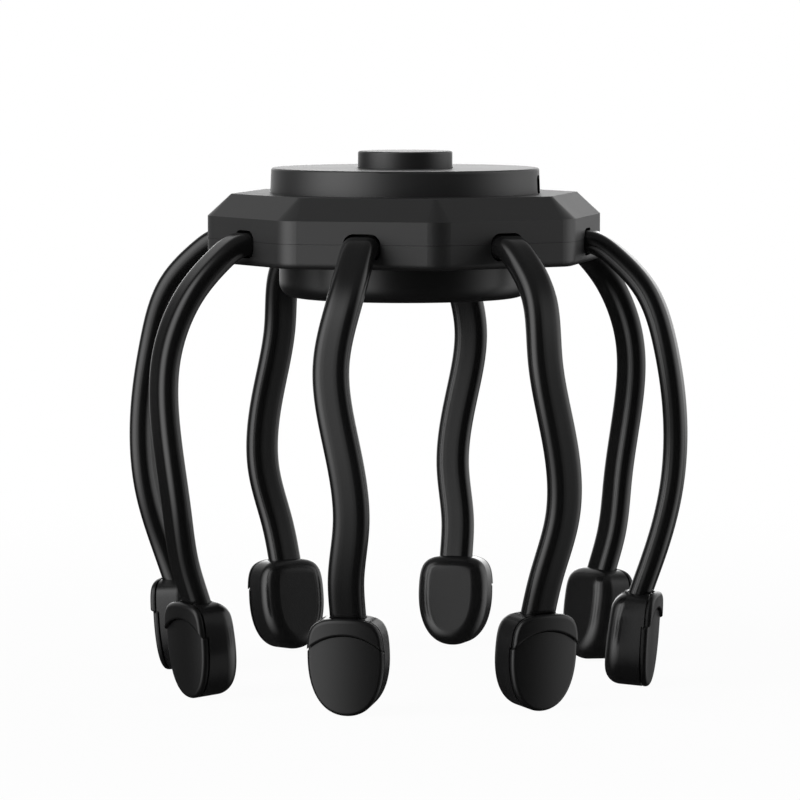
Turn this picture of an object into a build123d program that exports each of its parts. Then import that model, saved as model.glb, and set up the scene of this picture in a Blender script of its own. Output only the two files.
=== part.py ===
from build123d import *
from math import atan2, cos, degrees, radians, sin, sqrt, tan
import os

os.makedirs("parts", exist_ok=True)

# An eight-claw electric scalp massager, standing on the tips of its claws.
# Millimetres. The origin is on the ground under the middle of the housing, +Z is up.
# Claw 1 points along -Y and the others follow it anticlockwise, seen from above.

# ---------------------------------------------------------------- driving dimensions

# claws: count and first direction
claw_count = 8
first_claw_angle = -90

# leg: a flexible rubber arm of rounded rectangular section
leg_width = 8.7
leg_thickness = 5.4
leg_corner = 2.5
leg_drop = 86.7
leg_flare = 0.35
leg_flare_length = 7.0
leg_head_overhang = 1.7
leg_head_thickness = 1.6
leg_head_standoff = 0.9
leg_plug = 5.5
leg_stations = 12
leg_station_spread = 1.35

# leg's route from the casing wall: outward, sideways, share of the drop
leg_route = [
    (0.0, 0.0, 0.0),
    (6.9, 0.0, 0.040),
    (14.85, -0.55, 0.138),
    (20.2, -2.45, 0.302),
    (22.1, 0.35, 0.516),
    (20.4, 2.4, 0.736),
    (17.0, 0.3, 0.895),
    (13.85, 0.0, 1.0),
]
leg_end_slope = 19.0

# claw tip: an outline of four curves, with a two-part front plate on a soft body
tip_half_width = 9.35
tip_rise = 9.6
tip_fall = 14.05
tip_top_fullness = 0.854
tip_bottom_fullness = 0.623
tip_depth = 11.2
tip_lean = 3.8
tip_wedge = 3.9
tip_wall = 2.1
tip_rounding = 3.9

# front plates: the collar is proud of the cover, and an arc parts them
plate_thickness = 1.3
plate_edge = 0.95
plate_lap = 0.8
plate_lap_clearance = 0.1
cover_arc_radius = 13.6
cover_arc_apex = 5.75
cover_recess = 0.65
cover_gap = 0.4
tongue_thickness = 1.0
tongue_height = 1.0
tongue_clearance = 0.1

# open seam round the tip between the plates' rims and the soft body
seam_width = 0.5
seam_depth = 0.8

# leg's seat in the tip: how deep its centre line lies, and the room round it
socket_depth = 4.5
socket_clearance = 0.2

# vibration motor and its eccentric weight, lengthwise in the tip
motor_radius = 3.0
motor_length = 8.2
motor_plug_room = 1.0
motor_front_room = 0.4
motor_floor_room = 0.4
motor_shaft_radius = 0.5
motor_shaft_length = 5.4
weight_rim_inset = 0.1
weight_hub_radius = 1.25
weight_length = 3.4
weight_standoff = 1.2
weight_spread = 200.0
weight_bore_clearance = 0.03
saddle_thickness = 1.2
saddle_clearance = 0.05
saddle_shares = (0.2, 0.8)

# housing: an octagonal box with bevelled top, in two halves
casing_across_flats = 92.8
casing_corner = 7.5
casing_wall = 2.2
casing_floor = 1.4
casing_deck = 2.2
casing_side_height = 11.6
casing_bottom_edge = 1.5
bevel_height = 5.4
bevel_inset = 5.85
parting_above_slot = 0.8
parting_reveal = 0.06
lip_height = 1.0
lip_clearance = 0.1

# slots that the legs come through: room round a leg's flared root
slot_side_room = 0.08
slot_room_above = 0.6
slot_room_below = 0.42
slot_corner = 2.6
floor_below_slot = 0.5

# control disc on top of the housing
disc_radius = 33.7
disc_height = 6.25
disc_draft_inset = 0.25
disc_wall = 1.6
disc_edge = 0.6

# button in the middle of the disc
button_radius = 11.8
button_height = 4.15
button_edge = 0.5
button_gap = 0.25
button_travel = 0.8
button_flange_width = 1.3
button_flange_thickness = 0.8
button_flange_gap = 0.1
button_wall = 1.4

# circuit board with the tactile switch and controller
board_rim_room = 2.65
board_thickness = 1.0
board_sink = 0.25
board_clearance = 0.3
wire_hole_radius = 9.0
switch_size = 6.0
switch_height = 2.0
plunger_radius = 1.7
plunger_height = 1.3
plunger_clearance = 0.05
stem_radius = 2.4
chip_size = 7.0
chip_height = 1.0
chip_circle = 16.0

# charging jack in the disc's side, and the hole in front of it
jack_angle = 4.0
jack_radius = 2.1
jack_bore_radius = 1.8
jack_pin_radius = 0.65
jack_bore_depth = 6.5
jack_length = 9.0
jack_block_width = 6.0
jack_block_length = 6.5
jack_block_height = 4.3
jack_height = 2.4
jack_setback = 0.3
port_height = 4.7
port_width = 4.9
port_corner = 1.4

# indicator lights beside the button
light_count = 3
light_radius = 0.8
light_offset = 5.1
light_middle_angle = -52.0
light_spacing_angle = 12.0
light_clearance = 0.05
light_flange = 0.5

# crown dome under the housing
dome_radius = 31.5
dome_height = 8.95
dome_edge = 3.8
dome_wall = 1.8
dome_peg_radius = 1.5
dome_peg_circle = 22.0
dome_peg_clearance = 0.1

# battery pouch on the casing floor
battery_width = 28.0
battery_length = 50.0
battery_height = 8.0
battery_edge = 1.5
battery_room = 1.4

# clamp ring behind and above the leg roots
ring_width = 5.2
ring_rim_room = 0.35
ring_thickness = 1.5
ring_room_above_head = 0.6
ring_tab_width = 9.0
ring_tab_thickness = 1.4
ring_tab_room = 0.75
ring_tab_lift = 0.5
ring_post_radius = 2.5
ring_post_inset = 3.1

# screws: one self-tapping size everywhere
screw_head_radius = 1.9
screw_head_height = 1.2
screw_shank_radius = 1.0
screw_length = 6.5
screw_hole_clearance = 0.15
screws_per_circle = 4
disc_screw_inset = 3.95
pillar_radius = 2.0
post_radius = 3.0

# ---------------------------------------------------------------- derived sizes

claw_pitch = 360 / claw_count
half_pitch = claw_pitch / 2
claw_angles = [first_claw_angle + n * claw_pitch for n in range(claw_count)]
apothem = casing_across_flats / 2
lean = radians(tip_lean)
wedge = radians(tip_wedge)
end_slope = radians(leg_end_slope)

# The tip stands on the rounded lower edge of its recessed cover.
edge_depth = cover_recess + plate_edge
tip_middle_z = (tip_fall - plate_edge) * cos(lean) - edge_depth * sin(lean) + plate_edge
tip_mouth_z = tip_middle_z + tip_rise * cos(lean) + socket_depth * sin(lean)
slot_z = tip_mouth_z + leg_drop

leg_end_out, leg_end_side = leg_route[-1][0], leg_route[-1][1]
tip_middle_r = apothem + leg_end_out + socket_depth * cos(lean) - tip_rise * sin(lean)

root_width = leg_width + leg_flare
root_height = leg_thickness + leg_flare
head_width = leg_width + 2 * leg_head_overhang
slot_width = root_width + 2 * slot_side_room
slot_top = slot_z + root_height / 2 + slot_room_above
slot_bottom = slot_z - root_height / 2 - slot_room_below
slot_middle_z = (slot_top + slot_bottom) / 2
floor_top = slot_bottom - floor_below_slot
casing_bottom = floor_top - casing_floor
parting_z = slot_z + parting_above_slot
bevel_bottom = casing_bottom + casing_side_height
casing_top = bevel_bottom + bevel_height
deck_bottom = casing_top - casing_deck
bevel_angle = degrees(atan2(bevel_inset, bevel_height))
inner_flats = casing_across_flats - 2 * casing_wall
inner_corner = casing_corner - casing_wall
lip_flats = casing_across_flats - casing_wall
lip_corner = casing_corner - casing_wall / 2

disc_top = casing_top + disc_height
disc_ceiling = disc_top - disc_wall
disc_inner_radius = disc_radius - disc_draft_inset - disc_wall
button_top = disc_top + button_height
button_flange_top = disc_ceiling - button_flange_gap
button_flange_bottom = button_flange_top - button_flange_thickness
board_radius = disc_inner_radius - board_rim_room
board_top = casing_top - board_sink
board_bottom = board_top - board_thickness
switch_top = board_top + switch_height
plunger_top = switch_top + plunger_height
dome_bottom = casing_bottom - dome_height
disc_screw_circle = board_radius - disc_screw_inset
casing_screw_circle = (battery_width / 2 + battery_room + post_radius) * sqrt(2)
screw_seat = floor_top + screw_head_height

head_outer_r = apothem - casing_wall - leg_head_standoff
head_inner_r = head_outer_r - leg_head_thickness
ring_outer_radius = head_outer_r - ring_rim_room
ring_inner_radius = ring_outer_radius - ring_width
ring_bottom = slot_z + root_height / 2 + ring_room_above_head
ring_top = ring_bottom + ring_thickness
ring_post_circle = ring_outer_radius - ring_post_inset
ring_tab_outer_r = head_inner_r - ring_tab_room

jack_z = board_top + jack_height
jack_front_r = disc_inner_radius - jack_setback
jack_tail_r = jack_front_r - jack_length
jack_direction = Vector(cos(radians(jack_angle)), sin(radians(jack_angle)), 0)
light_circle = button_radius + light_offset
light_angles = [
    light_middle_angle + light_spacing_angle * (n - (light_count - 1) / 2)
    for n in range(light_count)
]

# depths in the tip below its outer face
cover_back = cover_recess + plate_thickness
body_front = cover_back + seam_width
motor_depth = cover_back + motor_front_room + motor_radius
cavity_floor = motor_depth + motor_radius + motor_floor_room
motor_top = tip_rise - leg_plug - motor_plug_room
weight_radius = motor_radius - weight_rim_inset

# ---------------------------------------------------------------- working planes

# The tip's own plane: x sideways, y up the tip, z outward, on its outer face.
tip_plane = Plane(
    origin=(tip_middle_r, leg_end_side, tip_middle_z),
    x_dir=(0, 1, 0),
    z_dir=(cos(lean), 0, -sin(lean)),
)
tip_up = tip_plane.y_dir

# The leg's lower end, looking into the tip.
leg_end = Vector(apothem + leg_end_out, leg_end_side, tip_mouth_z)
leg_end_direction = Vector(-sin(end_slope), 0, -cos(end_slope))
socket_plane = Plane(origin=leg_end, x_dir=(0, 1, 0), z_dir=leg_end_direction)

# The motor lies lengthwise in the tip; its plane looks down the shaft.
motor_plane = Plane(
    origin=tip_plane.from_local_coords(Vector(0, motor_top, -motor_depth)),
    x_dir=(0, 1, 0),
    z_dir=-tip_up,
)

# The inner contact face leans away from the outer face by the wedge.
contact_plane = Plane(
    origin=tip_plane.from_local_coords(Vector(0, 0, -tip_depth)),
    x_dir=(0, 1, 0),
    z_dir=tip_plane.z_dir - tip_up * tan(wedge),
)

# The charging jack looks out through the disc's side, and its block sits on the board.
jack_plane = Plane(
    origin=jack_direction * jack_front_r + Vector(0, 0, jack_z),
    x_dir=(0, 0, 1),
    z_dir=jack_direction,
)
jack_board_plane = Plane(origin=(0, 0, board_top), x_dir=jack_direction, z_dir=(0, 0, 1))


# ---------------------------------------------------------------- shared shapes


def octagon_block(flats, corner, low, high, taper=0.0):
    """Octagonal block with rounded corners; a taper leans its sides inwards."""
    with BuildPart() as block:
        with BuildSketch(Plane.XY.offset(low)) as outline:
            RegularPolygon(flats / 2, claw_count, major_radius=False, rotation=half_pitch)
            fillet(outline.vertices(), corner)
        extrude(amount=high - low, taper=taper)
    return block.part


def tip_outline(inset=0.0):
    """Face of a claw tip: a full, nearly flat top and a tapering round bottom."""
    width = tip_half_width - inset
    rise = tip_rise - inset
    fall = tip_fall - inset
    with BuildSketch() as outline:
        with BuildLine():
            for side in (1, -1):
                Bezier(
                    (side * width, 0),
                    (side * width, rise * tip_top_fullness),
                    (side * width * tip_top_fullness, rise),
                    (0, rise),
                )
                Bezier(
                    (side * width, 0),
                    (side * width, -fall * tip_bottom_fullness),
                    (side * width * tip_bottom_fullness, -fall),
                    (0, -fall),
                )
        make_face()
    return outline.sketch


def below_arc(rise=0.0):
    """Disc below the arc that parts collar and cover, with its edge moved out by rise."""
    with BuildSketch() as disc:
        with Locations((0, cover_arc_apex - cover_arc_radius)):
            Circle(cover_arc_radius + rise)
    return disc.sketch


def outer_outline(piece):
    """Edges of a tip piece's outermost face, without the arc."""
    face = piece.faces().sort_by(Axis(tip_plane.origin, tip_plane.z_dir))[-1]
    return face.edges().filter_by(GeomType.CIRCLE, reverse=True)


def save(name, part):
    """Label a finished piece and write it."""
    part.label = name
    export_step(part, f"parts/{name}.step")


def ring_of_points(radius, count, start):
    """Places spaced evenly round the housing's axis."""
    return PolarLocations(radius, count, start_angle=start)


# ---------------------------------------------------------------- housing

with BuildPart() as slot_cutter:
    with BuildSketch(Plane.YZ.offset(apothem - 2 * casing_wall)):
        with Locations((0, slot_middle_z)):
            RectangleRounded(slot_width, slot_top - slot_bottom, slot_corner)
    extrude(amount=4 * casing_wall)

with BuildPart() as upper_casing:
    # upright sides, then the bevel, whose rounded corners run together upwards
    add(
        octagon_block(
            casing_across_flats, casing_corner, parting_z + parting_reveal, bevel_bottom
        )
    )
    add(
        octagon_block(
            casing_across_flats, casing_corner, bevel_bottom, casing_top, bevel_angle
        )
    )
    add(
        octagon_block(inner_flats, inner_corner, parting_z, bevel_bottom),
        mode=Mode.SUBTRACT,
    )
    add(
        octagon_block(inner_flats, inner_corner, bevel_bottom, deck_bottom, bevel_angle),
        mode=Mode.SUBTRACT,
    )
    # rebate that drops over the lower half's lip
    add(
        octagon_block(lip_flats, lip_corner, parting_z, parting_z + lip_height),
        mode=Mode.SUBTRACT,
    )
    # recess for the circuit board, with a hole for its wires
    with BuildSketch(Plane.XY.offset(casing_top)):
        Circle(board_radius + board_clearance)
    extrude(amount=board_bottom - casing_top, mode=Mode.SUBTRACT)
    with BuildSketch(Plane.XY.offset(casing_top)):
        Circle(wire_hole_radius)
    extrude(amount=-casing_deck, mode=Mode.SUBTRACT)
    # bosses that the lower half is screwed to
    with BuildSketch(Plane.XY.offset(parting_z)):
        with ring_of_points(casing_screw_circle, screws_per_circle, claw_pitch):
            Circle(post_radius)
    extrude(until=Until.NEXT)
    with BuildSketch(Plane.XY.offset(parting_z)):
        with ring_of_points(casing_screw_circle, screws_per_circle, claw_pitch):
            Circle(screw_shank_radius)
    extrude(amount=screw_length, mode=Mode.SUBTRACT)
    # holes for the screws that hold the disc
    with BuildSketch(Plane.XY.offset(deck_bottom)):
        with ring_of_points(disc_screw_circle, screws_per_circle, half_pitch):
            Circle(screw_shank_radius + screw_hole_clearance)
    extrude(amount=casing_deck, mode=Mode.SUBTRACT)
    with PolarLocations(0, claw_count):
        add(slot_cutter.part, mode=Mode.SUBTRACT)

with BuildPart() as lower_casing:
    add(octagon_block(casing_across_flats, casing_corner, casing_bottom, parting_z))
    fillet(lower_casing.faces().sort_by(Axis.Z)[0].edges(), casing_bottom_edge)
    add(
        octagon_block(
            lip_flats - 2 * lip_clearance,
            lip_corner - lip_clearance,
            parting_z,
            parting_z + lip_height,
        )
    )
    add(
        octagon_block(inner_flats, inner_corner, floor_top, parting_z + lip_height),
        mode=Mode.SUBTRACT,
    )
    # posts under the upper half's bosses
    with BuildSketch(Plane.XY.offset(floor_top)):
        with ring_of_points(casing_screw_circle, screws_per_circle, claw_pitch):
            Circle(post_radius)
    extrude(amount=parting_z - floor_top)
    # posts that carry the clamp ring
    with BuildSketch(Plane.XY.offset(floor_top)):
        with ring_of_points(ring_post_circle, screws_per_circle, half_pitch):
            Circle(ring_post_radius)
    extrude(amount=ring_bottom - floor_top)
    with Locations(Plane.XY.offset(ring_bottom)):
        with ring_of_points(ring_post_circle, screws_per_circle, half_pitch):
            Hole(screw_shank_radius, depth=screw_length - ring_thickness)
    # counterbored holes for the casing screws, entered from below
    with Locations(Plane.XY.offset(casing_bottom).rotated((180, 0, 0))):
        with ring_of_points(casing_screw_circle, screws_per_circle, claw_pitch):
            CounterBoreHole(
                screw_shank_radius + screw_hole_clearance,
                screw_head_radius + screw_hole_clearance,
                casing_floor + screw_head_height,
                depth=parting_z - casing_bottom,
            )
    # holes for the dome's pegs
    with Locations(Plane.XY.offset(floor_top)):
        with ring_of_points(dome_peg_circle, screws_per_circle, 0):
            Hole(dome_peg_radius + dome_peg_clearance, depth=casing_floor)
    with PolarLocations(0, claw_count):
        add(slot_cutter.part, mode=Mode.SUBTRACT)

with BuildPart() as crown_dome:
    with BuildSketch(Plane.XZ):
        with BuildLine():
            Polyline(
                (0, dome_bottom),
                (dome_radius, dome_bottom),
                (dome_radius, casing_bottom),
                (dome_radius - dome_wall, casing_bottom),
                (dome_radius - dome_wall, dome_bottom + dome_wall),
                (0, dome_bottom + dome_wall),
                close=True,
            )
        make_face()
    revolve(axis=Axis.Z)
    bottom_edge = crown_dome.edges().filter_by(GeomType.CIRCLE).group_by(Axis.Z)[0]
    fillet(bottom_edge, dome_edge)
    inner_edge = (
        crown_dome.edges()
        .filter_by(GeomType.CIRCLE)
        .filter_by_position(
            Axis.Z, dome_bottom + dome_wall - 0.01, dome_bottom + dome_wall + 0.01
        )
    )
    fillet(inner_edge, dome_edge - dome_wall)
    # pegs that locate the dome in the casing floor
    with BuildSketch(Plane.XY.offset(dome_bottom + dome_wall)):
        with ring_of_points(dome_peg_circle, screws_per_circle, 0):
            Circle(2 * dome_peg_radius)
    extrude(amount=dome_height - dome_wall)
    with BuildSketch(Plane.XY.offset(casing_bottom)):
        with ring_of_points(dome_peg_circle, screws_per_circle, 0):
            Circle(dome_peg_radius)
    extrude(amount=casing_floor)

with BuildPart() as top_disc:
    # outer skin with a slight draft, hollow below
    with BuildSketch(Plane.XZ):
        with BuildLine():
            Polyline(
                (0, casing_top),
                (disc_radius, casing_top),
                (disc_radius - disc_draft_inset, disc_top),
                (0, disc_top),
                close=True,
            )
        make_face()
    revolve(axis=Axis.Z)
    fillet(top_disc.edges().filter_by(GeomType.CIRCLE).group_by(Axis.Z)[-1], disc_edge)
    with BuildSketch(Plane.XY.offset(casing_top)):
        Circle(disc_inner_radius)
    extrude(amount=disc_height - disc_wall, mode=Mode.SUBTRACT)
    # well for the button
    with BuildSketch(Plane.XY.offset(disc_ceiling)):
        Circle(button_radius + button_gap)
    extrude(amount=disc_wall, mode=Mode.SUBTRACT)
    # pillars that clamp the board and take the screws from below
    with BuildSketch(Plane.XY.offset(board_top)):
        with ring_of_points(disc_screw_circle, screws_per_circle, half_pitch):
            Circle(pillar_radius)
    extrude(amount=disc_ceiling - board_top)
    with BuildSketch(Plane.XY.offset(board_top)):
        with ring_of_points(disc_screw_circle, screws_per_circle, half_pitch):
            Circle(screw_shank_radius)
    extrude(amount=deck_bottom + screw_length - board_top, mode=Mode.SUBTRACT)
    # holes for the indicator lights
    for light in light_angles:
        with BuildSketch(Plane.XY.offset(disc_ceiling)):
            with ring_of_points(light_circle, 1, light):
                Circle(light_radius + light_clearance)
        extrude(amount=disc_wall, mode=Mode.SUBTRACT)
    # port in front of the charging jack, open at the foot
    with BuildSketch(jack_plane):
        RectangleRounded(port_height, port_width, port_corner)
    extrude(amount=jack_setback + 2 * disc_wall, mode=Mode.SUBTRACT)

with BuildPart() as button:
    with BuildSketch(Plane.XY.offset(button_flange_bottom)):
        Circle(button_radius + button_flange_width)
    extrude(amount=button_flange_thickness)
    with BuildSketch(Plane.XY.offset(button_flange_top)):
        Circle(button_radius)
    extrude(amount=button_top - button_flange_top)
    fillet(button.edges().filter_by(GeomType.CIRCLE).group_by(Axis.Z)[-1], button_edge)
    # hollow underside with a stem that meets the switch
    with BuildSketch(Plane.XY.offset(button_flange_bottom)):
        Circle(button_radius - button_wall)
        Circle(stem_radius, mode=Mode.SUBTRACT)
    extrude(amount=button_top - button_wall - button_flange_bottom, mode=Mode.SUBTRACT)
    with BuildSketch(Plane.XY.offset(plunger_top)):
        Circle(stem_radius)
    extrude(amount=button_flange_top - plunger_top)

with BuildPart() as switch_plunger:
    with BuildSketch(Plane.XY.offset(board_top)):
        Circle(plunger_radius)
    extrude(amount=plunger_top - board_top)

with BuildPart() as circuit_board:
    with BuildSketch(Plane.XY.offset(board_bottom)):
        Circle(board_radius)
        Circle(plunger_radius + plunger_clearance, mode=Mode.SUBTRACT)
        with ring_of_points(disc_screw_circle, screws_per_circle, half_pitch):
            Circle(screw_shank_radius + screw_hole_clearance, mode=Mode.SUBTRACT)
    extrude(amount=board_thickness)
    # tactile switch, controller and driver chips soldered on top
    with BuildSketch(Plane.XY.offset(board_top)):
        Rectangle(switch_size, switch_size)
        Circle(plunger_radius + plunger_clearance, mode=Mode.SUBTRACT)
    extrude(amount=switch_height)
    with BuildSketch(Plane.XY.offset(board_top)):
        with Locations((-chip_circle, 0), (0, -chip_circle), (0, chip_circle)):
            Rectangle(chip_size, chip_size)
    extrude(amount=chip_height)

with BuildPart() as charging_jack:
    # barrel with a blind bore and its centre pin, in the block soldered to the board
    with BuildSketch(jack_plane):
        Circle(jack_radius)
    extrude(amount=-jack_length)
    with BuildSketch(jack_board_plane):
        with Locations((jack_tail_r + jack_block_length / 2, 0)):
            Rectangle(jack_block_length, jack_block_width)
    extrude(amount=jack_block_height)
    with BuildSketch(jack_plane):
        Circle(jack_bore_radius)
        Circle(jack_pin_radius, mode=Mode.SUBTRACT)
    extrude(amount=-jack_bore_depth, mode=Mode.SUBTRACT)

with BuildPart() as indicator_lights:
    # light pipes that stand on the board, held by a collar under the disc
    for light in light_angles:
        with BuildSketch(Plane.XY.offset(board_top)):
            with ring_of_points(light_circle, 1, light):
                Circle(light_radius)
        extrude(amount=disc_top - board_top)
        with BuildSketch(Plane.XY.offset(disc_ceiling - light_flange)):
            with ring_of_points(light_circle, 1, light):
                Circle(light_radius + light_flange)
        extrude(amount=light_flange)

with BuildPart() as battery:
    with BuildSketch(Plane.XY.offset(floor_top)):
        RectangleRounded(battery_width, battery_length, battery_edge)
    extrude(amount=battery_height)

with BuildPart() as clamp_ring:
    with BuildSketch(Plane.XY.offset(ring_bottom)):
        Circle(ring_outer_radius)
        Circle(ring_inner_radius, mode=Mode.SUBTRACT)
        with ring_of_points(ring_post_circle, screws_per_circle, half_pitch):
            Circle(screw_shank_radius + screw_hole_clearance, mode=Mode.SUBTRACT)
    extrude(amount=ring_thickness)
    # tabs that hang behind the leg roots
    with BuildSketch(Plane.XY.offset(floor_top + ring_tab_lift)):
        with ring_of_points(ring_tab_outer_r - ring_tab_thickness / 2, claw_count, 0):
            Rectangle(ring_tab_thickness, ring_tab_width)
    extrude(amount=ring_bottom - floor_top - ring_tab_lift)

with BuildPart() as screw:
    with BuildSketch(Plane.XY):
        Circle(screw_head_radius)
    extrude(amount=screw_head_height)
    with BuildSketch(Plane.XY):
        Circle(screw_shank_radius)
    extrude(amount=-screw_length)

with BuildPart() as casing_screws:
    # down through the clamp ring into its posts
    with Locations(Plane.XY.offset(ring_top)):
        with ring_of_points(ring_post_circle, screws_per_circle, half_pitch):
            add(screw.part)
    # up through the floor into the casing bosses
    with Locations(Plane.XY.offset(screw_seat).rotated((180, 0, 0))):
        with ring_of_points(casing_screw_circle, screws_per_circle, claw_pitch):
            add(screw.part)
    # up through the deck and the board into the disc's pillars; the plane is turned
    # over, so its angles run the other way
    with Locations(Plane.XY.offset(deck_bottom).rotated((180, 0, 0))):
        with ring_of_points(disc_screw_circle, screws_per_circle, -half_pitch):
            add(screw.part)

housing = {
    "upper_casing": upper_casing,
    "lower_casing": lower_casing,
    "crown_dome": crown_dome,
    "top_disc": top_disc,
    "button": button,
    "switch_plunger": switch_plunger,
    "circuit_board": circuit_board,
    "charging_jack": charging_jack,
    "indicator_lights": indicator_lights,
    "battery": battery,
    "clamp_ring": clamp_ring,
    "casing_screws": casing_screws,
}
for name, piece in housing.items():
    save(name, piece.part)

# ---------------------------------------------------------------- one claw, pointing along +X

with BuildPart() as leg:
    with BuildLine():
        centre = Spline(
            *[
                (apothem + out, side, slot_z - share * leg_drop)
                for out, side, share in leg_route
            ],
            tangents=[(1, 0, 0), leg_end_direction],
        )
    # sections square to the route, closer together round the shoulder, and flared at the root
    for step in range(leg_stations + 1):
        along = centre.length * (step / leg_stations) ** leg_station_spread
        here = centre.position_at(along, position_mode=PositionMode.LENGTH)
        ahead = centre.tangent_at(along, position_mode=PositionMode.LENGTH)
        level = Vector(0, 1, 0) - ahead * ahead.Y
        flare = leg_flare * max(0, 1 - along / leg_flare_length) ** 2
        with BuildSketch(Plane(origin=here, x_dir=level, z_dir=ahead)):
            RectangleRounded(leg_width + flare, leg_thickness + flare, leg_corner + flare / 2)
    loft()
    # root through the slot, with the cross-head that holds it in the casing
    with BuildSketch(Plane.YZ.offset(head_inner_r)):
        with Locations((0, slot_z)):
            RectangleRounded(root_width, root_height, leg_corner + leg_flare / 2)
    extrude(amount=apothem - head_inner_r)
    with BuildSketch(Plane.YZ.offset(head_inner_r)):
        with Locations((0, slot_z)):
            RectangleRounded(head_width, root_height, leg_corner / 2)
    extrude(amount=leg_head_thickness)
    # plug inside the tip
    with BuildSketch(socket_plane):
        RectangleRounded(leg_width, leg_thickness, leg_corner)
    extrude(amount=leg_plug)

with BuildPart() as leg_socket:
    with BuildSketch(socket_plane):
        RectangleRounded(
            leg_width + 2 * socket_clearance,
            leg_thickness + 2 * socket_clearance,
            leg_corner + socket_clearance,
        )
    extrude(amount=leg_plug + socket_clearance, both=True)

with BuildPart() as collar:
    with BuildSketch(tip_plane.offset(-plate_thickness)):
        add(tip_outline())
        add(below_arc(), mode=Mode.SUBTRACT)
    extrude(amount=plate_thickness)
    fillet(outer_outline(collar), plate_edge)

with BuildPart() as cover:
    with BuildSketch(tip_plane.offset(-cover_back)):
        add(tip_outline())
        add(below_arc(-cover_gap), mode=Mode.INTERSECT)
    extrude(amount=plate_thickness)
    fillet(outer_outline(cover), plate_edge)
    # lap behind the collar's arc
    with BuildSketch(tip_plane.offset(-cover_back)):
        add(tip_outline(seam_depth))
        add(below_arc(plate_lap), mode=Mode.INTERSECT)
    extrude(amount=cover_recess)
    # tongue that fits inside the soft body
    with BuildSketch(tip_plane.offset(-cover_back)):
        add(tip_outline(tip_wall + tongue_clearance))
        add(tip_outline(tip_wall + tongue_clearance + tongue_thickness), mode=Mode.SUBTRACT)
        add(below_arc(-cover_gap), mode=Mode.INTERSECT)
    extrude(amount=-tongue_height)

with BuildPart() as pad:
    with BuildSketch(tip_plane.offset(-body_front)):
        add(tip_outline())
    extrude(amount=-tip_depth)
    split(bisect_by=contact_plane, keep=Keep.TOP)
    contact_face = pad.faces().sort_by(Axis(tip_plane.origin, tip_plane.z_dir))[0]
    fillet(contact_face.edges(), tip_rounding)
    # rim stepped up behind the collar, so that the seam keeps its width
    with BuildSketch(tip_plane.offset(-body_front)):
        add(tip_outline())
        add(tip_outline(seam_depth), mode=Mode.SUBTRACT)
        add(below_arc(), mode=Mode.SUBTRACT)
    extrude(amount=cover_recess)
    # lands that the cover and the collar lie on
    with BuildSketch(tip_plane.offset(-body_front)):
        add(tip_outline(seam_depth))
    extrude(amount=seam_width)
    with BuildSketch(tip_plane.offset(-cover_back)):
        add(tip_outline(seam_depth))
        add(below_arc(plate_lap + plate_lap_clearance), mode=Mode.SUBTRACT)
    extrude(amount=cover_recess)
    # cavity for the motor
    with BuildSketch(tip_plane.offset(-cavity_floor)):
        add(tip_outline(tip_wall))
    extrude(amount=cavity_floor, mode=Mode.SUBTRACT)
    # saddles that the motor lies in
    for share in saddle_shares:
        with BuildSketch(tip_plane.offset(-cavity_floor)):
            add(tip_outline(tip_wall))
            with Locations((0, motor_top - share * motor_length)):
                Rectangle(2 * tip_half_width, saddle_thickness, mode=Mode.INTERSECT)
        extrude(amount=motor_radius + motor_floor_room)
    with BuildSketch(motor_plane):
        Circle(motor_radius + saddle_clearance)
    extrude(amount=motor_length, mode=Mode.SUBTRACT)
    add(leg_socket.part, mode=Mode.SUBTRACT)

with BuildPart() as motor:
    with BuildSketch(motor_plane):
        Circle(motor_radius)
    extrude(amount=motor_length)
    with BuildSketch(motor_plane):
        Circle(motor_shaft_radius)
    extrude(amount=motor_length + motor_shaft_length)

with BuildPart() as weight:
    with BuildSketch(motor_plane.offset(motor_length + weight_standoff)):
        with BuildLine():
            rim = CenterArc((0, 0), weight_radius, -weight_spread / 2, weight_spread)
            Line(rim @ 1, (0, 0))
            Line((0, 0), rim @ 0)
        make_face()
        Circle(weight_hub_radius)
        Circle(motor_shaft_radius + weight_bore_clearance, mode=Mode.SUBTRACT)
    extrude(amount=weight_length)

# ---------------------------------------------------------------- eight claws round the housing

claw = {"leg": leg, "collar": collar, "cover": cover, "pad": pad, "motor": motor, "weight": weight}
for number, angle in enumerate(claw_angles, start=1):
    for name, piece in claw.items():
        with BuildPart() as turned:
            add(piece.part, rotation=(0, 0, angle), clean=False)
        save(f"claw_{number}_{name}", turned.part)
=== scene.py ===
# %% [markdown]
# # An electric scalp massager in Blender
#
# The massager is an octagonal black housing with a control disc and one button on top.
# Eight soft arms come out of slots in its sides, bend down like spider legs and end in
# vibrating tips. Its sizes are already settled by the packed CAD model, so this lesson
# only dresses it: it gives every moulding its finish, sweeps the soft arms afresh and
# builds the studio round it.
#
# The first cell loads the CAD model as a fixed frame. Everything is in metres, +Z is up,
# and the origin is on the floor under the middle of the housing.

import bpy
import math
import numpy as np
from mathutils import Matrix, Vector


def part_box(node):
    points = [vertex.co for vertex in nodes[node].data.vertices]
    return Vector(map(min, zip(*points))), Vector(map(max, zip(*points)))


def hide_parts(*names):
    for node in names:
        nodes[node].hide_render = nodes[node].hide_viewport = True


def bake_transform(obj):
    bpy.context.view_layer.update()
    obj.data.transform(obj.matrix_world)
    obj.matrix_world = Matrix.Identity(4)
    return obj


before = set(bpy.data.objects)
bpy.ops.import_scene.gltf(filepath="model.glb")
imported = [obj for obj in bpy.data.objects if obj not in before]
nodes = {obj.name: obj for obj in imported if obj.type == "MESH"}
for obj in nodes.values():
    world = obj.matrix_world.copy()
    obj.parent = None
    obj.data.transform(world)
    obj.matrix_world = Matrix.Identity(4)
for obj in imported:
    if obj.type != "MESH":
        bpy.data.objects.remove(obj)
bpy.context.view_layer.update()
mm = 0.001
claw_count = 8
claw_pitch = 2 * math.pi / claw_count

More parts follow.
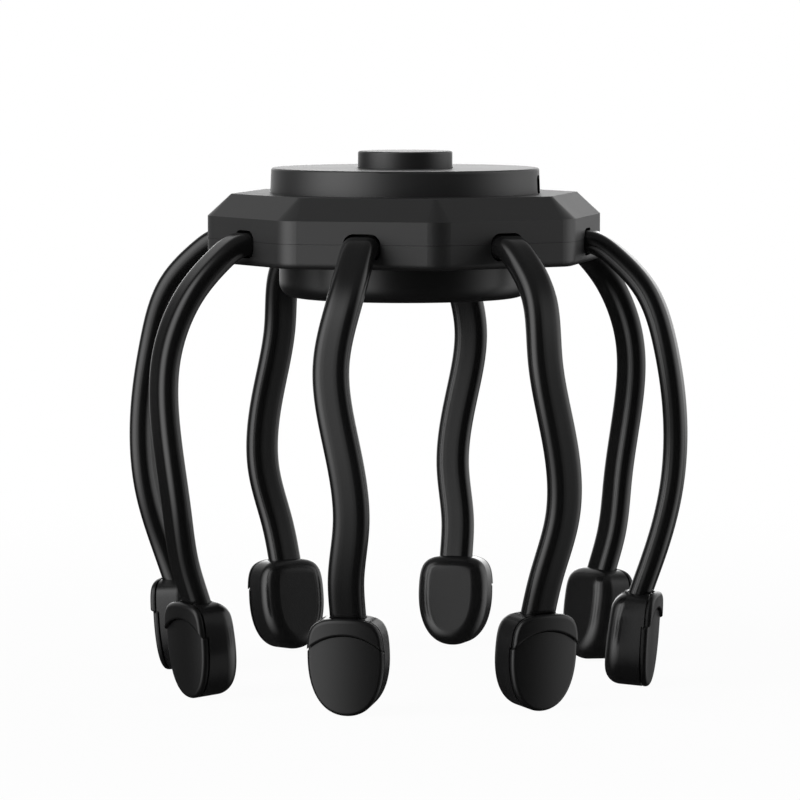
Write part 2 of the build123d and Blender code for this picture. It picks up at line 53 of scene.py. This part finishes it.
# %% [markdown]
# ## The camera
#
# The object is looked at almost level, a little from the right of its first arm, from a
# metre away through a long lens. A long lens keeps the near and the far tips nearly the
# same size, which is how small products are usually shown. The camera is placed from four
# measures that a photographer would note: how far round it stands, how far off, how high,
# and how far it looks down.

# %% Camera
viewing_turn = math.radians(13.1)
looking_down = math.radians(4.97)
standing_off = 1.0342
camera_height = 0.1602
camera_aside = -0.00127
sensor_width = 36.0
lens_length = 186.17
picture_side = 800
framing_shift = -0.1

camera = bpy.data.objects.new("camera", bpy.data.cameras.new("camera"))
bpy.context.scene.collection.objects.link(camera)
bpy.context.scene.camera = camera
camera.data.sensor_width = sensor_width
camera.data.lens = lens_length
camera.data.shift_x = framing_shift / picture_side
camera.data.clip_start = 0.05
camera.data.clip_end = 50.0
across = Vector((math.cos(viewing_turn), math.sin(viewing_turn), 0.0))
inwards = Vector((-math.sin(viewing_turn), math.cos(viewing_turn), 0.0))
up = Vector((0.0, 0.0, 1.0))
camera.location = across * camera_aside - inwards * standing_off + up * camera_height
looking = inwards * math.cos(looking_down) - up * math.sin(looking_down)
camera.rotation_mode = "QUATERNION"
camera.rotation_quaternion = looking.to_track_quat("-Z", "Y")
print("camera at", [round(value, 4) for value in camera.location])

# %% [markdown]
# ## Shader arithmetic
#
# A procedural material is a sum worked out by nodes: noise, times a strength, plus a
# base roughness, and so on. Wiring each Math node by hand hides that sum, so one small
# class wraps an output socket and lets ordinary Python arithmetic add the nodes. Every
# other kind of node comes from its one `node` method, which takes the node's type, its
# settings, and the values or links of its sockets.

# %% A socket that can be calculated with
class Wire:
    """One output socket of a node tree. Arithmetic on it adds the Math node for it."""

    def __init__(self, tree, socket=None):
        self.tree = tree
        self.socket = socket

    def node(self, kind, settings=None, inputs=None, output=0):
        """Add a node: its settings first, then its sockets' values or links."""
        made = self.tree.nodes.new(kind)
        for name, value in (settings or {}).items():
            setattr(made, name, value)
        for name, value in (inputs or {}).items():
            if isinstance(value, Wire):
                self.tree.links.new(value.socket, made.inputs[name])
            else:
                made.inputs[name].default_value = value
        return Wire(self.tree, made.outputs[output]) if made.outputs else made

    def math(self, operation, *values):
        """Add a Math node that works on the values in their order."""
        settings = {"operation": operation}
        return self.node("ShaderNodeMath", settings, dict(enumerate(values)))

    def __add__(self, other):
        return self.math("ADD", self, other)

    def __mul__(self, other):
        return self.math("MULTIPLY", self, other)

    def __sub__(self, other):
        return self.math("SUBTRACT", self, other)

    def __rsub__(self, other):
        return self.math("SUBTRACT", other, self)

    def __pow__(self, other):
        return self.math("POWER", self, other)

    __radd__ = __add__
    __rmul__ = __mul__


print("reflected:", [name for name in vars(Wire) if name.startswith("__r")])

# %% [markdown]
# ### Nodes with short names
#
# Four kinds of node are needed again and again, so each gets a short name: a mix of two
# colours, a noise whose blotches have a known size, a soft step between two values, and
# the share of a direction that goes along an aim.

# %% Nodes that are used often
def solid(tones):
    """A colour from its three tones, fully opaque."""
    return (*tones, 1.0)


def blend_colours(share, first, second):
    """The first colour where share is 0, the second where it is 1."""
    return share.node(
        "ShaderNodeMix",
        {"data_type": "RGBA"},
        {0: share, 6: first, 7: second},
        output=2,
    )


def grain(place, size, detail=2.0, roughness=0.5):
    """Noise whose blotches are about `size` metres across, from 0 to 1."""
    return place.node(
        "ShaderNodeTexNoise",
        {"noise_dimensions": "3D"},
        {"Vector": place, "Scale": 1.0 / size, "Detail": detail, "Roughness": roughness},
    )


def smooth(value, at_none, at_full):
    """Soft step from 0 at at_none to 1 at at_full, in either order."""
    return value.node(
        "ShaderNodeMapRange",
        {"interpolation_type": "SMOOTHSTEP"},
        {"Value": value, "From Min": at_none, "From Max": at_full},
    )


def along_aim(direction, aim):
    """How far a direction goes along an aim: their dot product."""
    settings = {"operation": "DOT_PRODUCT"}
    inputs = {0: direction, 1: aim}
    return direction.node("ShaderNodeVectorMath", settings, inputs, output="Value")


print("a solid colour:", solid((0.5, 0.5, 0.5)))

# %% [markdown]
# ## Studio
#
# Black plastic shows almost nothing of its own colour. What the eye reads as its shape is
# the room reflected in it. A product photographer builds that room from cards: a large
# bright one to the left, a dimmer one to the right, a bright strip low behind the object
# that skims its level tops, and darkness where the camera stands, so that the edges
# between light and dark run down every rounded surface. Such cards could be modelled as
# glowing planes. Here the world draws them instead, as soft-edged patches of direction,
# so that none of them can stand in the way when the object is looked at from elsewhere.
# Each card has a turn, counted from the camera's side, a width, and a lowest and a
# highest rise above the horizon.

# %% Cards
# In degrees: the card's turn, where it is full and where it ends to either side, where it
# starts and where it is full upwards, and where it is still full and where it ends
# upwards. Its strength comes last.
cards = {
    "left": (-59, (5, 49), (-54, 3), (40, 72), 3.6),
    "right": (100, (5, 49), (-54, 3), (24, 56), 1.7),
    "behind": (180, (30, 66), (-12, -1), (25, 60), 0.65),
    "skimming": (180, (6, 30), (-5, 2), (10, 24), 2.35),
    "overhead": (0, (190, 200), (35, 60), (90, 95), 0.16),
}
dark_room = 0.02
degree = math.pi / 180


def unit(turn, rise):
    """Direction turned from the camera's side by one angle, and raised by another.

    Both are in degrees. A positive turn goes towards the camera's right.
    """
    turn, rise = math.radians(turn), math.radians(rise)
    flat = across * math.sin(turn) - inwards * math.cos(turn)
    return flat * math.cos(rise) + up * math.sin(rise)


for name, (turn, *_) in cards.items():
    print(name, "card towards", [round(part, 2) for part in unit(turn, 0)])

# %% [markdown]
# ### The room in the world
#
# The world gives a strength for every direction. A direction's rise is the arc sine of
# its share upwards, and its turn away from a card is the arc tangent of its share
# sideways of the card over its share towards the card. A card is the product of three
# soft steps, one to either side, one at its foot and one at its top, and the room is a
# dark level plus all the cards. The background itself is plain white for the rays that
# come straight from the camera.

# %% World
world = bpy.data.worlds.new("studio")
bpy.context.scene.world = world
world.use_nodes = True
world.node_tree.nodes.clear()
sky = Wire(world.node_tree)
direction = sky.node("ShaderNodeTexCoord", output="Generated")
rise = sky.math("ARCSINE", along_aim(direction, up)) * (1 / degree)
room_light = dark_room
for turn, sides, bottom, top, strength in cards.values():
    forward = along_aim(direction, unit(turn, 0))
    sideways = along_aim(direction, unit(turn + 90, 0))
    aside = sky.math("ABSOLUTE", sky.math("ARCTAN2", sideways, forward)) * (1 / degree)
    card = smooth(aside, *sides[::-1]) * smooth(rise, *bottom) * smooth(rise, *top[::-1])
    room_light = card * strength + room_light
from_camera = sky.node("ShaderNodeLightPath", output="Is Camera Ray")
through_glass = sky.node("ShaderNodeLightPath", output="Is Transmission Ray")
plain_white = sky.math("MAXIMUM", from_camera, through_glass)
shown_light = plain_white + (1.0 - plain_white) * room_light
background = sky.node(
    "ShaderNodeBackground", None, {"Color": (1, 1, 1, 1), "Strength": shown_light}
)
sky.node("ShaderNodeOutputWorld", None, {"Surface": background})
print("world nodes:", len(world.node_tree.nodes))

# %% [markdown]
# ## Floor
#
# The floor is a plain pale disc. To the camera it is mostly plain white, so that it meets
# the background without an edge. A small share of it is ordinary matt paint, which keeps
# the object's shadow, and that share fades out towards the rim. A white floor would also
# be mirrored in every black face and light it from below, so it is left out of glossy
# reflections: there the dark room shows instead, as over a black table.

# %% Floor
floor_radius = 0.45
fade_radius = 0.1
floor_sides = 96
floor_shade = 0.85
shadow_share = 0.04

turns = np.linspace(0, 2 * math.pi, floor_sides, endpoint=False)
rim = np.stack([np.cos(turns), np.sin(turns), np.zeros(floor_sides)], 1) * floor_radius
floor_mesh = bpy.data.meshes.new("floor")
floor_mesh.from_pydata(rim.tolist(), [], [list(range(floor_sides))])
floor = bpy.data.objects.new("floor", floor_mesh)
bpy.context.scene.collection.objects.link(floor)
floor.visible_glossy = False

floor_paint = bpy.data.materials.new("floor_paint")
floor_paint.use_nodes = True
floor_paint.node_tree.nodes.clear()
ground = Wire(floor_paint.node_tree)
paint = ground.node("ShaderNodeBsdfDiffuse", None, {"Color": solid([floor_shade] * 3)})
plain = ground.node("ShaderNodeEmission", None, {"Strength": 1.0})
from_camera = ground.node("ShaderNodeLightPath", output="Is Camera Ray")
place = ground.node("ShaderNodeTexCoord", output="Object")
from_middle = place.node(
    "ShaderNodeVectorMath", {"operation": "LENGTH"}, {0: place}, output="Value"
)
paint_share = shadow_share * smooth(from_middle, floor_radius, fade_radius)
plain_share = from_camera * (1.0 - paint_share)
mixed = ground.node("ShaderNodeMixShader", None, {0: plain_share, 1: paint, 2: plain})
ground.node("ShaderNodeOutputMaterial", None, {"Surface": mixed})
floor_mesh.materials.append(floor_paint)
print("floor", 2 * floor_radius, "m across")

# %% [markdown]
# ## Starting a material
#
# Every finish starts the same way: a new material, its Principled shader, and the Object
# coordinates that its noises read. These are the same for all pieces, because each piece
# has its place in its mesh, so a grain runs on from one piece to the next at the same
# size. What varies over a piece is linked to the shader, and what doesn't is set on the
# shader's own socket.

# %% Material helpers
def surface(name):
    """Start a material: the material, its shader, and a wire at Object coordinates."""
    finish = bpy.data.materials.new(name)
    finish.use_nodes = True
    shader = finish.node_tree.nodes["Principled BSDF"]
    place = Wire(finish.node_tree).node("ShaderNodeTexCoord", output="Object")
    return finish, shader, place


def feed(shader, **links):
    """Link wires to the shader's sockets; a plain value is set on the socket itself."""
    for name, value in links.items():
        socket = shader.inputs[name.replace("_", " ")]
        if isinstance(value, Wire):
            value.tree.links.new(value.socket, socket)
        else:
            socket.default_value = value


def bump(height):
    """Normals of a relief whose height is given in metres."""
    return height.node(
        "ShaderNodeBump", None, {"Height": height, "Strength": 1.0, "Distance": 1.0}
    )


def uneven(noise, least, spread):
    """Roughness: `least` where the noise is 0, and more by `spread` where it is 1."""
    return noise * spread + least


print("roughness halfway:", uneven(0.5, least=0.3, spread=0.1))

# %% [markdown]
# ## The tips' rounded plates
#
# The outer plates of a tip are a little rounded sideways, and the upper plate has a
# rounded lip where it parts from the lower one along an arc. The packed plates are flat,
# and they keep their meshes, so the roundness is given as a relief: the bump shader tilts
# the normals as a rounded face would, and a highlight runs over the plate instead of
# filling it. One relief serves all eight tips, because it is measured from the middle
# plane of whichever claw is nearest.

# %% Relief of the rounded plates
# the arc's top is given above the tip's middle, and the middle above the floor
plate_crown_radius = 48 * mm
tip_middle_height = 13.9 * mm
arc_apex, arc_radius = 5.75 * mm, 13.6 * mm
lip_width, lip_fall = 0.45 * mm, 0.25 * mm


def sideways_of_claw(place):
    """How far a point lies sideways of the middle plane of the nearest claw.

    The claws stand 45 degrees apart round the axis, so it is a point's distance from the
    axis, times the sine of its turn less the nearest claw's turn.
    """
    x = place.node("ShaderNodeSeparateXYZ", None, {"Vector": place}, output="X")
    y = place.node("ShaderNodeSeparateXYZ", None, {"Vector": place}, output="Y")
    turn = y.math("ARCTAN2", y, x)
    nearest_claw = turn.math("ROUND", turn * (1 / claw_pitch)) * claw_pitch
    return (x * x + y * y) ** 0.5 * turn.math("SINE", turn - nearest_claw)


def crown(place, radius):
    """Height of a face that is rounded sideways.

    Near its top a cylinder falls away by the square of the distance sideways, divided by
    twice its radius.
    """
    side = sideways_of_claw(place)
    return side * side * (-0.5 / radius)


def plate_lip(place):
    """Height of the front plates near the arc where they part.

    The arc's circle has its centre on the tip's middle line. A point's distance from that
    centre, less the arc's radius, tells how far above the arc it lies. The height rises in
    a soft step from a lip's width below the arc to a lip's width above it.
    """
    height = place.node("ShaderNodeSeparateXYZ", None, {"Vector": place}, output="Z")
    centre_up = height - (tip_middle_height + arc_apex - arc_radius)
    side = sideways_of_claw(place)
    past_arc = (side * side + centre_up * centre_up) ** 0.5 - arc_radius
    return smooth(past_arc, -lip_width, lip_width) * lip_fall


print("the arc's top is", round((tip_middle_height + arc_apex) / mm, 2), "mm up")

# %% [markdown]
# ## Moulded plastic and rubber
#
# All the outer parts are black. What tells them apart is how finely the mould was
# finished. The housing came out of a spark-eroded mould, so it is matt with a fine even
# grain. The disc and button are a little smoother, and the arms and tips are silicone
# from a polished mould, which gives soft but clear reflections. One function makes all of
# them: a black base that varies a touch in large blotches, a roughness that varies with
# it, and a fine grain as bump.

# %% Moulded finishes
blotch_size = 22 * mm
darker, lighter = 0.8, 1.25
moulded_spread = 0.05


def moulded(name, tones, roughness, gloss, grain_size, grain_depth, crown_radius=None):
    """Black moulding: blotches in tone and roughness, and a grain left by the mould."""
    finish, shader, place = surface(name)
    blotches = grain(place, blotch_size, detail=3.0)
    dark = solid([tone * darker for tone in tones])
    light = solid([tone * lighter for tone in tones])
    relief = grain(place, grain_size, detail=1.0) * grain_depth
    if crown_radius:
        relief = relief + crown(place, crown_radius) + plate_lip(place)
    feed(
        shader,
        Base_Color=blend_colours(blotches, dark, light),
        Roughness=uneven(blotches, roughness - moulded_spread / 2, moulded_spread),
        Normal=bump(relief),
        Specular_IOR_Level=gloss,
    )
    return finish


plastic = (0.011, 0.011, 0.0112)
disc_plastic = (0.017, 0.017, 0.0173)
dome_plastic = (0.008, 0.008, 0.0082)
jack_plastic = (0.004, 0.004, 0.004)
inner_plastic = (0.02, 0.02, 0.021)
rubber = (0.006, 0.006, 0.0061)
pad_rubber = (0.010, 0.010, 0.0102)

casing_finish = moulded("casing_finish", plastic, 0.46, 0.5, 0.32 * mm, 0.007 * mm)
disc_finish = moulded("disc_finish", disc_plastic, 0.40, 0.43, 0.28 * mm, 0.005 * mm)
dome_finish = moulded("dome_finish", dome_plastic, 0.36, 0.42, 0.30 * mm, 0.004 * mm)
arm_finish = moulded("arm_finish", rubber, 0.2, 0.37, 0.6 * mm, 0.001 * mm)
tip_finish = moulded(
    "tip_finish", rubber, 0.33, 0.33, 0.35 * mm, 0.002 * mm, plate_crown_radius
)
pad_finish = moulded("pad_finish", pad_rubber, 0.22, 0.42, 0.5 * mm, 0.001 * mm)
inner_finish = moulded("inner_finish", inner_plastic, 0.5, 0.5, 0.5 * mm, 0.006 * mm)
jack_finish = moulded("jack_finish", jack_plastic, 0.3, 0.4, 0.4 * mm, 0.002 * mm)
print("nodes in the tips' finish:", len(tip_finish.node_tree.nodes))

# %% [markdown]
# ## Metal
#
# The metal pieces are inside the housing and the tips. They still get honest finishes, so
# that the model can be opened up: drawn steel with streaks along the motor, a sintered
# weight with pits, and zinc-plated screws. A streak is a noise that is squeezed along one
# axis, which is how drawing leaves the metal's surface.

# %% Metals
mark_size, cloud_size = 0.4 * mm, 3 * mm
duller, brighter = 0.85, 1.1
metal_spread = 0.14


def metal(name, tones, roughness, streak, mark_depth):
    """Metal with fine marks that are squeezed by `streak` along each axis."""
    finish, shader, place = surface(name)
    squeezed = place.node("ShaderNodeMapping", None, {"Vector": place, "Scale": streak})
    marks = grain(squeezed, mark_size, detail=3.0)
    clouds = grain(place, cloud_size)
    dull = solid([tone * duller for tone in tones])
    bright = solid([tone * brighter for tone in tones])
    feed(
        shader,
        Metallic=1.0,
        Base_Color=blend_colours(clouds, dull, bright),
        Roughness=uneven(marks, roughness - metal_spread / 2, metal_spread),
        Normal=bump(marks * mark_depth),
    )
    return finish


steel = (0.56, 0.56, 0.55)
sintered = (0.33, 0.32, 0.31)
zinc = (0.62, 0.62, 0.6)
steel_finish = metal("steel_finish", steel, 0.32, (1.0, 1.0, 0.08), 0.003 * mm)
weight_finish = metal("weight_finish", sintered, 0.5, (1.0, 1.0, 1.0), 0.01 * mm)
screw_finish = metal("screw_finish", zinc, 0.3, (1.0, 1.0, 0.3), 0.002 * mm)
print("metals:", steel_finish.name, weight_finish.name, screw_finish.name)

# %% [markdown]
# ## Circuit board
#
# The board is copper tracks under green varnish. They could be drawn one by one, but the
# board is hidden in the disc, so a pattern is enough: the joints of a brick wall make
# straight crossing lines, which read as tracks, and the same lines raise the varnish.

# %% Board
brick_size = 9 * mm
track_height = 0.018 * mm
varnish = (0.012, 0.09, 0.03, 1.0)
copper_under_varnish = (0.03, 0.19, 0.05, 1.0)

board_finish, shader, place = surface("board_finish")
tracks = place.node(
    "ShaderNodeTexBrick",
    {"offset": 0.37, "squash": 0.6},
    {
        "Vector": place,
        "Scale": 1 / brick_size,
        "Mortar Size": 0.03,
        "Mortar Smooth": 0.2,
    },
    output="Fac",
)
feed(
    shader,
    Base_Color=blend_colours(tracks, varnish, copper_under_varnish),
    Roughness=uneven(grain(place, 4 * mm), 0.25, 0.1),
    Normal=bump(tracks * track_height),
)
print("bricks", round(brick_size / mm, 1), "mm long")

# %% [markdown]
# ## Battery and indicator lights
#
# The battery is a foil pouch, whose creases are the borders between the cells of a
# Voronoi pattern. The three indicator lights beside the button are the ends of milky
# plastic pipes, so they are paler than the disc and finely frosted.

# %% Foil and milky plastic
crease_size, crease_height = 7 * mm, 0.04 * mm
dull_foil, bright_foil = (0.38, 0.39, 0.41, 1), (0.5, 0.51, 0.53, 1)
frost_size, frost_height = 0.15 * mm, 0.0012 * mm
dark_milk, pale_milk = (0.12, 0.12, 0.125, 1), (0.18, 0.18, 0.185, 1)

foil_finish, shader, place = surface("foil_finish")
creases = place.node(
    "ShaderNodeTexVoronoi",
    {"feature": "DISTANCE_TO_EDGE"},
    {"Vector": place, "Scale": 1 / crease_size},
    output="Distance",
)
feed(
    shader,
    Metallic=0.8,
    Base_Color=blend_colours(grain(place, 9 * mm), dull_foil, bright_foil),
    Roughness=uneven(grain(place, 2 * mm), 0.3, 0.15),
    Normal=bump(creases * crease_height),
)

lens_finish, shader, place = surface("lens_finish")
frost = grain(place, frost_size)
feed(
    shader,
    Base_Color=blend_colours(frost, dark_milk, pale_milk),
    Roughness=uneven(frost, 0.15, 0.1),
    Normal=bump(frost * frost_height),
    Coat_Weight=0.5,
)
print("finishes:", foil_finish.name, lens_finish.name)

# %% [markdown]
# ## Dressing the packed parts
#
# The packed CAD parts keep their exact shapes. A finish is put on each by its name: the
# eight claws are numbered, so a claw's part is found by what its name ends with.

# %% Put a finish on every packed part
finish_of_part = {
    "upper_casing": casing_finish,
    "lower_casing": casing_finish,
    "crown_dome": dome_finish,
    "top_disc": disc_finish,
    "button": disc_finish,
    "switch_plunger": inner_finish,
    "circuit_board": board_finish,
    "charging_jack": jack_finish,
    "indicator_lights": lens_finish,
    "battery": foil_finish,
    "clamp_ring": inner_finish,
    "casing_screws": screw_finish,
    "leg": arm_finish,
    "collar": tip_finish,
    "cover": tip_finish,
    "pad": pad_finish,
    "motor": steel_finish,
    "weight": weight_finish,
}
for name, part in nodes.items():
    kind = name.split("_", 2)[2] if name.startswith("claw_") else name
    part.data.materials.clear()
    part.data.materials.append(finish_of_part[kind])
print("finished parts:", len(nodes))

# %% [markdown]
# ## The soft arms
#
# Each arm is one silicone moulding of rounded rectangular section. It could be bent from
# a straight bar with a Curve modifier, but the arm starts level in its slot, swings over
# a shoulder and sways sideways on its way down, so it is clearer to carry a flat profile
# along its centre line. The line runs through a few places taken from the drawing, as a
# smooth clamped spline. Each place is given by how far out it lies from the casing's
# wall, how far sideways, and which share of the arm's whole drop it has come down.

# %% The arm's centre line
apothem = 46.4
root_height = 5.75
slot_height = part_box("claw_1_leg")[1].z / mm - root_height / 2
leg_drop = 86.7
route = np.array(
    [
        (0.0, 0.0, 0.0),
        (6.9, 0.0, 0.040),
        (14.85, -0.55, 0.138),
        (20.2, -2.45, 0.302),
        (22.1, 0.35, 0.516),
        (20.4, 2.4, 0.736),
        (17.0, 0.3, 0.895),
        (13.85, 0.0, 1.0),
    ]
)
end_slope = math.radians(19.0)
knots = np.stack(
    [apothem + route[:, 0], route[:, 1], slot_height - leg_drop * route[:, 2]], 1
)
first_way = np.array([1.0, 0.0, 0.0])
last_way = np.array([-math.sin(end_slope), 0.0, -math.cos(end_slope)])
print("the line ends", round(float(knots[-1, 2]), 1), "mm above the floor")

# %% [markdown]
# ### A smooth line
#
# A line through a few places should bend evenly, as a rubber bar does. A cubic spline has
# no jump in its curvature, and clamping its ends gives it the level start in the slot and
# the slope at which it meets the tip.

# %% Clamped spline
line_places = 97


def clamped_spline(points, first, last, count):
    """Cubic spline through the points with given end directions.

    The parameter is the straight distance run from point to point. The slopes at the
    inner points are solved so that the curvature is continuous, and each stretch is then
    the cubic that has the slopes of its two ends.
    """
    spans = np.linalg.norm(np.diff(points, axis=0), axis=1)
    places = np.concatenate([[0.0], np.cumsum(spans)])
    rates = np.diff(points, axis=0) / spans[:, None]
    size = len(points)
    matrix = np.eye(size)
    right = np.zeros((size, 3))
    right[0], right[-1] = first, last
    inner = np.arange(1, size - 1)
    matrix[inner, inner - 1] = spans[1:]
    matrix[inner, inner] = 2 * (spans[:-1] + spans[1:])
    matrix[inner, inner + 1] = spans[:-1]
    right[inner] = 3 * (spans[1:, None] * rates[:-1] + spans[:-1, None] * rates[1:])
    slopes = np.linalg.solve(matrix, right)
    at = np.linspace(0.0, places[-1], count)
    piece = np.clip(np.searchsorted(places, at, side="right") - 1, 0, size - 2)
    span = spans[piece][:, None]
    share = (at - places[piece])[:, None] / span
    start_part = (1 + 2 * share) * (1 - share) ** 2 * points[piece]
    end_part = share**2 * (3 - 2 * share) * points[piece + 1]
    bend = share * (1 - share) * span
    slope_part = bend * ((1 - share) * slopes[piece] - share * slopes[piece + 1])
    return start_part + end_part + slope_part


free_run = clamped_spline(knots, first_way, last_way, line_places)
steps = np.linalg.norm(np.diff(free_run, axis=0), axis=1)
print("centre line runs", round(float(steps.sum()), 1), "mm")

# %% [markdown]
# ### The arm's section
#
# The section is a rounded rectangle, wider than it is thick, so that the arm bends easily
# in and out but hardly sideways. It is a closed row of points: four quarter circles, with
# the straight sides between them divided evenly, so that every section of the sweep has
# the same number of points in the same order.

# %% Rounded section
leg_width, leg_thickness, leg_corner = 8.7, 5.4, 2.5
arc_steps, flat_steps = 8, 4


def rounded_section(width, thickness, corner):
    """Closed rounded rectangle: four quarter circles joined by evenly divided sides."""
    quarter = np.linspace(0.0, math.pi / 2, arc_steps + 1)
    arcs = []
    for turn, (x_side, y_side) in enumerate([(1, 1), (-1, 1), (-1, -1), (1, -1)]):
        x_middle = x_side * (width / 2 - corner)
        y_middle = y_side * (thickness / 2 - corner)
        middle = np.array([x_middle, y_middle])
        angle = quarter + turn * math.pi / 2
        arcs.append(middle + corner * np.stack([np.cos(angle), np.sin(angle)], 1))
    outline = []
    for turn, arc in enumerate(arcs):
        following = arcs[(turn + 1) % 4][0]
        share = np.linspace(0.0, 1.0, flat_steps + 1)[1:-1, None]
        outline += [arc, arc[-1] + share * (following - arc[-1])]
    return np.concatenate(outline)


leg_section = rounded_section(leg_width, leg_thickness, leg_corner)
print("points round the arm:", len(leg_section))

# %% [markdown]
# ### Stations of the sweep
#
# The part of the arm inside the housing is straight. It starts with a cross-head, wider
# than the slot, that stops the arm from being pulled out. At the other end a straight
# plug goes into the tip. All of these are stations of the same sweep as the free run.
# Each station has a place, the way the line runs there, and two directions square to it:
# a level one to the side, and one outwards that is square to both.

# %% Places and directions of the stations
head_width, head_corner, head_thickness = 12.1, 1.25, 1.6
head_inner_r = 41.7
plug_length = 5.5


def level_run(start_r, end_r, count):
    """Places in a straight line outward from start_r to end_r at the slot's height."""
    radius = np.linspace(start_r, end_r, count)
    return np.stack([radius, 0 * radius, 0 * radius + slot_height], 1)


head_places = level_run(head_inner_r, head_inner_r + head_thickness, 2)
root_places = level_run(head_inner_r + head_thickness, apothem, 6)[:-1]
plug_places = free_run[-1] + last_way * np.linspace(0.0, plug_length, 5)[1:, None]
line = np.concatenate([head_places, root_places, free_run, plug_places])
ways = np.gradient(line, axis=0)
ways[: len(head_places) + len(root_places)] = first_way
ways[-len(plug_places) - 1 :] = last_way
ways /= np.linalg.norm(ways, axis=1)[:, None]
level_side = np.array([0.0, 1.0, 0.0])
side = level_side - ways * (ways @ level_side)[:, None]
side /= np.linalg.norm(side, axis=1)[:, None]
outward = np.cross(side, ways)
print("stations:", len(line))

# %% [markdown]
# ### One arm
#
# The arm is a little thicker where it leaves the housing, and thins down over the first
# few millimetres, as strain reliefs do. Two stations at the same place with different
# widths make the square shoulder of the cross-head. The whole grid of points is then one
# array expression: a place on the line, plus the section's width times the side
# direction, plus its thickness times the outward direction.

# %% Sweep one arm
flare, flare_length = 0.35, 7.0
gone = np.concatenate([[0.0], np.cumsum(steps)])
swell = flare * np.clip(1 - gone / flare_length, 0, 1) ** 2
root_swell, plug_swell = np.full(len(root_places), flare), np.zeros(len(plug_places))
swells = np.concatenate([root_swell, swell, plug_swell])
head_section = rounded_section(head_width, root_height, head_corner)
arm_sections = [
    rounded_section(leg_width + more, leg_thickness + more, leg_corner + more / 2)
    for more in swells
]
sections = np.stack([head_section] * len(head_places) + arm_sections)
arm_grid = (
    line[:, None, :]
    + sections[:, :, 0:1] * side[:, None, :]
    + sections[:, :, 1:2] * outward[:, None, :]
) * mm
print("arm grid", arm_grid.shape)

# %% [markdown]
# ### Eight arms
#
# The same grid is turned to the eight places round the axis and becomes a closed tube.
# Each arm takes the place of its packed twin, which is stiff, and the twin is hidden. In
# the mechanism a hinge in the casing's wall stands in for the bending.

# %% Eight arms round the housing
def tube_mesh(name, grid):
    """Mesh of a closed tube: quads between neighbouring sections, a face on each end."""
    rows, columns = grid.shape[:2]
    index = np.arange(rows * columns).reshape(rows, columns)
    ahead = np.roll(index, -1, axis=1)
    quads = np.stack([index[:-1], ahead[:-1], ahead[1:], index[1:]], -1).reshape(-1, 4)
    ends = [index[0][::-1].tolist(), index[-1].tolist()]
    mesh = bpy.data.meshes.new(name)
    mesh.from_pydata(grid.reshape(-1, 3).tolist(), [], quads.tolist() + ends)
    mesh.polygons.foreach_set("use_smooth", [True] * len(quads) + [False] * len(ends))
    mesh.update()
    return mesh


def turned(angle):
    """Matrix that turns the first claw's outward direction, +X, round the axis."""
    cosine, sine = math.cos(angle), math.sin(angle)
    return np.array([[cosine, -sine, 0.0], [sine, cosine, 0.0], [0.0, 0.0, 1.0]])


for number in range(1, claw_count + 1):
    turn = turned((number - 1) * claw_pitch - math.pi / 2)
    name = f"arm_{number}"
    arm = bpy.data.objects.new(name, tube_mesh(name, arm_grid @ turn.T))
    bpy.context.scene.collection.objects.link(arm)
    arm.data.materials.append(arm_finish)
    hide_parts(f"claw_{number}_leg")
    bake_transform(arm)
print("arms:", claw_count, "faces each:", len(arm.data.polygons))

# %% [markdown]
# ## Colour management
#
# The picture is shown with the Standard view transform.

# %% View transform
bpy.context.scene.view_settings.view_transform = "Standard"
